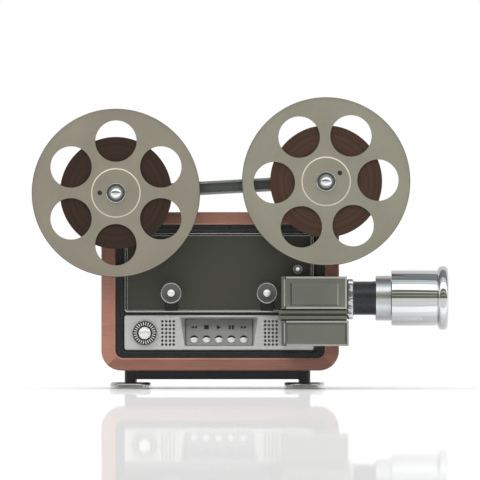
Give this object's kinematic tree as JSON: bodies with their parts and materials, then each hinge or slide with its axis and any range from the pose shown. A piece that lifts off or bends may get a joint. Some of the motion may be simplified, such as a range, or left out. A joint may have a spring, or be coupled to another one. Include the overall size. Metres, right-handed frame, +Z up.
{
  "type": "film projector",
  "caption": "Reel-to-reel small-gauge film projector: wooden case, control strip with keys and dial, film rollers, gate housing, projection lens and a bar carrying the two reels.",
  "frame": {"origin": "on the floor at the centre of the outer box", "axes": "+X along the lens (to the right seen from the control side), +Y to the back, +Z up"},
  "size_m": [0.4404, 0.19, 0.309],
  "materials": {
    "case_wood": "satin oiled reddish brown, straight horizontal grain",
    "black_frame": "satin black",
    "panel_paint": "dark olive grey, semi-gloss",
    "bright_trim": "polished",
    "fascia_silver": "fine satin",
    "plate_grey": "satin grey",
    "chrome": "polished",
    "dial_metal": "turned, fluted",
    "reel_metal": "satin warm grey",
    "film_brown": "wound film, fine concentric layers",
    "core_plastic": "dark",
    "arm_metal": "satin with polished lips",
    "arm_dark": "dark grey",
    "pedestal_paint": "black",
    "roller_black": "smoky black",
    "housing_paint": "warm grey, semi-gloss",
    "lens_black": "black anodised, ribbed",
    "lens_satin": "satin",
    "lens_chrome": "polished",
    "lens_glass": "coated",
    "dark_steel": "black, semi-gloss",
    "zinc_steel": "zinc plated",
    "belt_rubber": "matte",
    "lamp_glass": "facetted reflector and bulb",
    "optic_glass": "polished",
    "copper_winding": "varnished copper wire on a laminated core",
    "board_green": "printed circuit board",
    "cover_paint": "fine textured dark grey",
    "inlet_plastic": "black"
  },
  "bodies": {
    "case": {"case_bottom": "case_wood", "case_right": "case_wood", "case_top": "case_wood", "case_left": "case_wood", "front_bezel": "black_frame", "panel_trim": "bright_trim", "main_panel": "panel_paint", "control_fascia": "fascia_silver", "button_plate": "plate_grey", "circuit_board": "board_green", "arm_channel": "arm_metal", "arm_strip": "arm_dark", "arm_towers": "pedestal_paint", "roller_pins": "chrome", "roller_brackets": "dark_steel", "gate_housing": "housing_paint", "film_gate": "chrome", "guide_rails": "housing_paint", "lower_housing": "housing_paint", "lens_mount_plate": "lens_chrome", "lens_tube": "lens_black", "chassis": "zinc_steel", "motor": "zinc_steel", "belts": "belt_rubber", "lamp": "lamp_glass", "lamp_optics": "optic_glass", "transformer": "copper_winding", "rear_cover": "cover_paint", "cover_screws": "zinc_steel", "mains_inlet": "inlet_plastic", "legs": "dark_steel", "base_bars": "dark_steel", "feet": "chrome"},
    "takeup_reel": {"takeup_flanges": "reel_metal", "takeup_core": "core_plastic", "takeup_film": "film_brown", "takeup_spindle": "chrome"},
    "supply_reel": {"supply_flanges": "reel_metal", "supply_core": "core_plastic", "supply_film": "film_brown", "supply_spindle": "chrome"},
    "left_roller": {"guide_roller_left": "roller_black"},
    "right_roller": {"guide_roller_right": "roller_black"},
    "upper_roller": {"small_roller": "roller_black"},
    "dial": {"speed_dial": "dial_metal", "dial_cap": "chrome"},
    "key_rewind": {"button_rewind": "chrome"},
    "key_stop": {"button_stop": "chrome"},
    "key_play": {"button_play": "chrome"},
    "key_pause": {"button_pause": "chrome"},
    "key_forward": {"button_forward": "chrome"},
    "upper_door": {"gate_door": "housing_paint"},
    "bottom_door": {"lower_door": "housing_paint"},
    "ring": {"focus_ring": "lens_satin"},
    "barrel": {"lens_barrel": "lens_chrome", "lens_glass": "lens_glass"},
    "rotor": {"motor_rotor": "dark_steel"},
    "shaft": {"main_shaft": "zinc_steel", "shutter": "dark_steel"},
    "pulldown": {"claw": "zinc_steel"}
  },
  "joints": [
    {"name": "takeup_spin", "type": "hinge", "parent": "case", "child": "takeup_reel", "pos_m": [-0.1312, -0.0612, 0.2078], "axis": [0, -1, 0], "continuous": true},
    {"name": "supply_spin", "type": "hinge", "parent": "case", "child": "supply_reel", "pos_m": [0.0911, -0.0612, 0.22], "axis": [0, -1, 0], "continuous": true},
    {"name": "left_roller_spin", "type": "hinge", "parent": "case", "child": "left_roller", "pos_m": [-0.0728, -0.0612, 0.1019], "axis": [0, -1, 0], "continuous": true},
    {"name": "right_roller_spin", "type": "hinge", "parent": "case", "child": "right_roller", "pos_m": [0.0286, -0.0612, 0.1019], "axis": [0, -1, 0], "continuous": true},
    {"name": "upper_roller_spin", "type": "hinge", "parent": "case", "child": "upper_roller", "pos_m": [0.061, -0.0612, 0.127], "axis": [0, -1, 0], "continuous": true},
    {"name": "dial_turn", "type": "hinge", "parent": "case", "child": "dial", "pos_m": [-0.101, -0.037, 0.0594], "axis": [0, -1, 0], "range_deg": [-135, 135]},
    {"name": "rewind_press", "type": "slide", "parent": "case", "child": "key_rewind", "axis": [0, 0.9063, -0.4226], "range_m": [0, 0.002], "stiffness_N_per_m": 300, "springref_m": -0.002},
    {"name": "stop_press", "type": "slide", "parent": "case", "child": "key_stop", "axis": [0, 0.9063, -0.4226], "range_m": [0, 0.002], "stiffness_N_per_m": 300, "springref_m": -0.002},
    {"name": "play_press", "type": "slide", "parent": "case", "child": "key_play", "axis": [0, 0.9063, -0.4226], "range_m": [0, 0.002], "stiffness_N_per_m": 300, "springref_m": -0.002},
    {"name": "pause_press", "type": "slide", "parent": "case", "child": "key_pause", "axis": [0, 0.9063, -0.4226], "range_m": [0, 0.002], "stiffness_N_per_m": 300, "springref_m": -0.002},
    {"name": "forward_press", "type": "slide", "parent": "case", "child": "key_forward", "axis": [0, 0.9063, -0.4226], "range_m": [0, 0.002], "stiffness_N_per_m": 300, "springref_m": -0.002},
    {"name": "gate_door_swing", "type": "hinge", "parent": "case", "child": "upper_door", "pos_m": [0.0456, -0.0844, 0.10235], "axis": [0, 0, -1], "range_deg": [0, 110]},
    {"name": "lower_door_swing", "type": "hinge", "parent": "case", "child": "bottom_door", "pos_m": [0.0459, -0.0844, 0.0594], "axis": [0, 0, -1], "range_deg": [0, 110]},
    {"name": "focus_turn", "type": "hinge", "parent": "case", "child": "ring", "pos_m": [0.1515, -0.0612, 0.0965], "axis": [1, 0, 0], "range_deg": [0, 120]},
    {"name": "barrel_slide", "type": "slide", "parent": "case", "child": "barrel", "axis": [1, 0, 0], "range_m": [0, 0.003]},
    {"name": "motor_spin", "type": "hinge", "parent": "case", "child": "rotor", "pos_m": [-0.054, 0.01, 0.1], "axis": [0, -1, 0], "continuous": true},
    {"name": "shaft_spin", "type": "hinge", "parent": "case", "child": "shaft", "pos_m": [0.07, -0.02, 0.0965], "axis": [0, -1, 0], "continuous": true},
    {"name": "claw_pull", "type": "slide", "parent": "case", "child": "pulldown", "axis": [0, 0, 1], "range_m": [0, 0.00423], "stiffness_N_per_m": 60, "springref_m": -0.004}
  ],
  "couplings": [
    {"joint": "shaft_spin", "follows": "motor_spin", "ratio": 0.66667},
    {"joint": "focus_turn", "follows": "barrel_slide", "rad_per_m": 698}
  ]
}
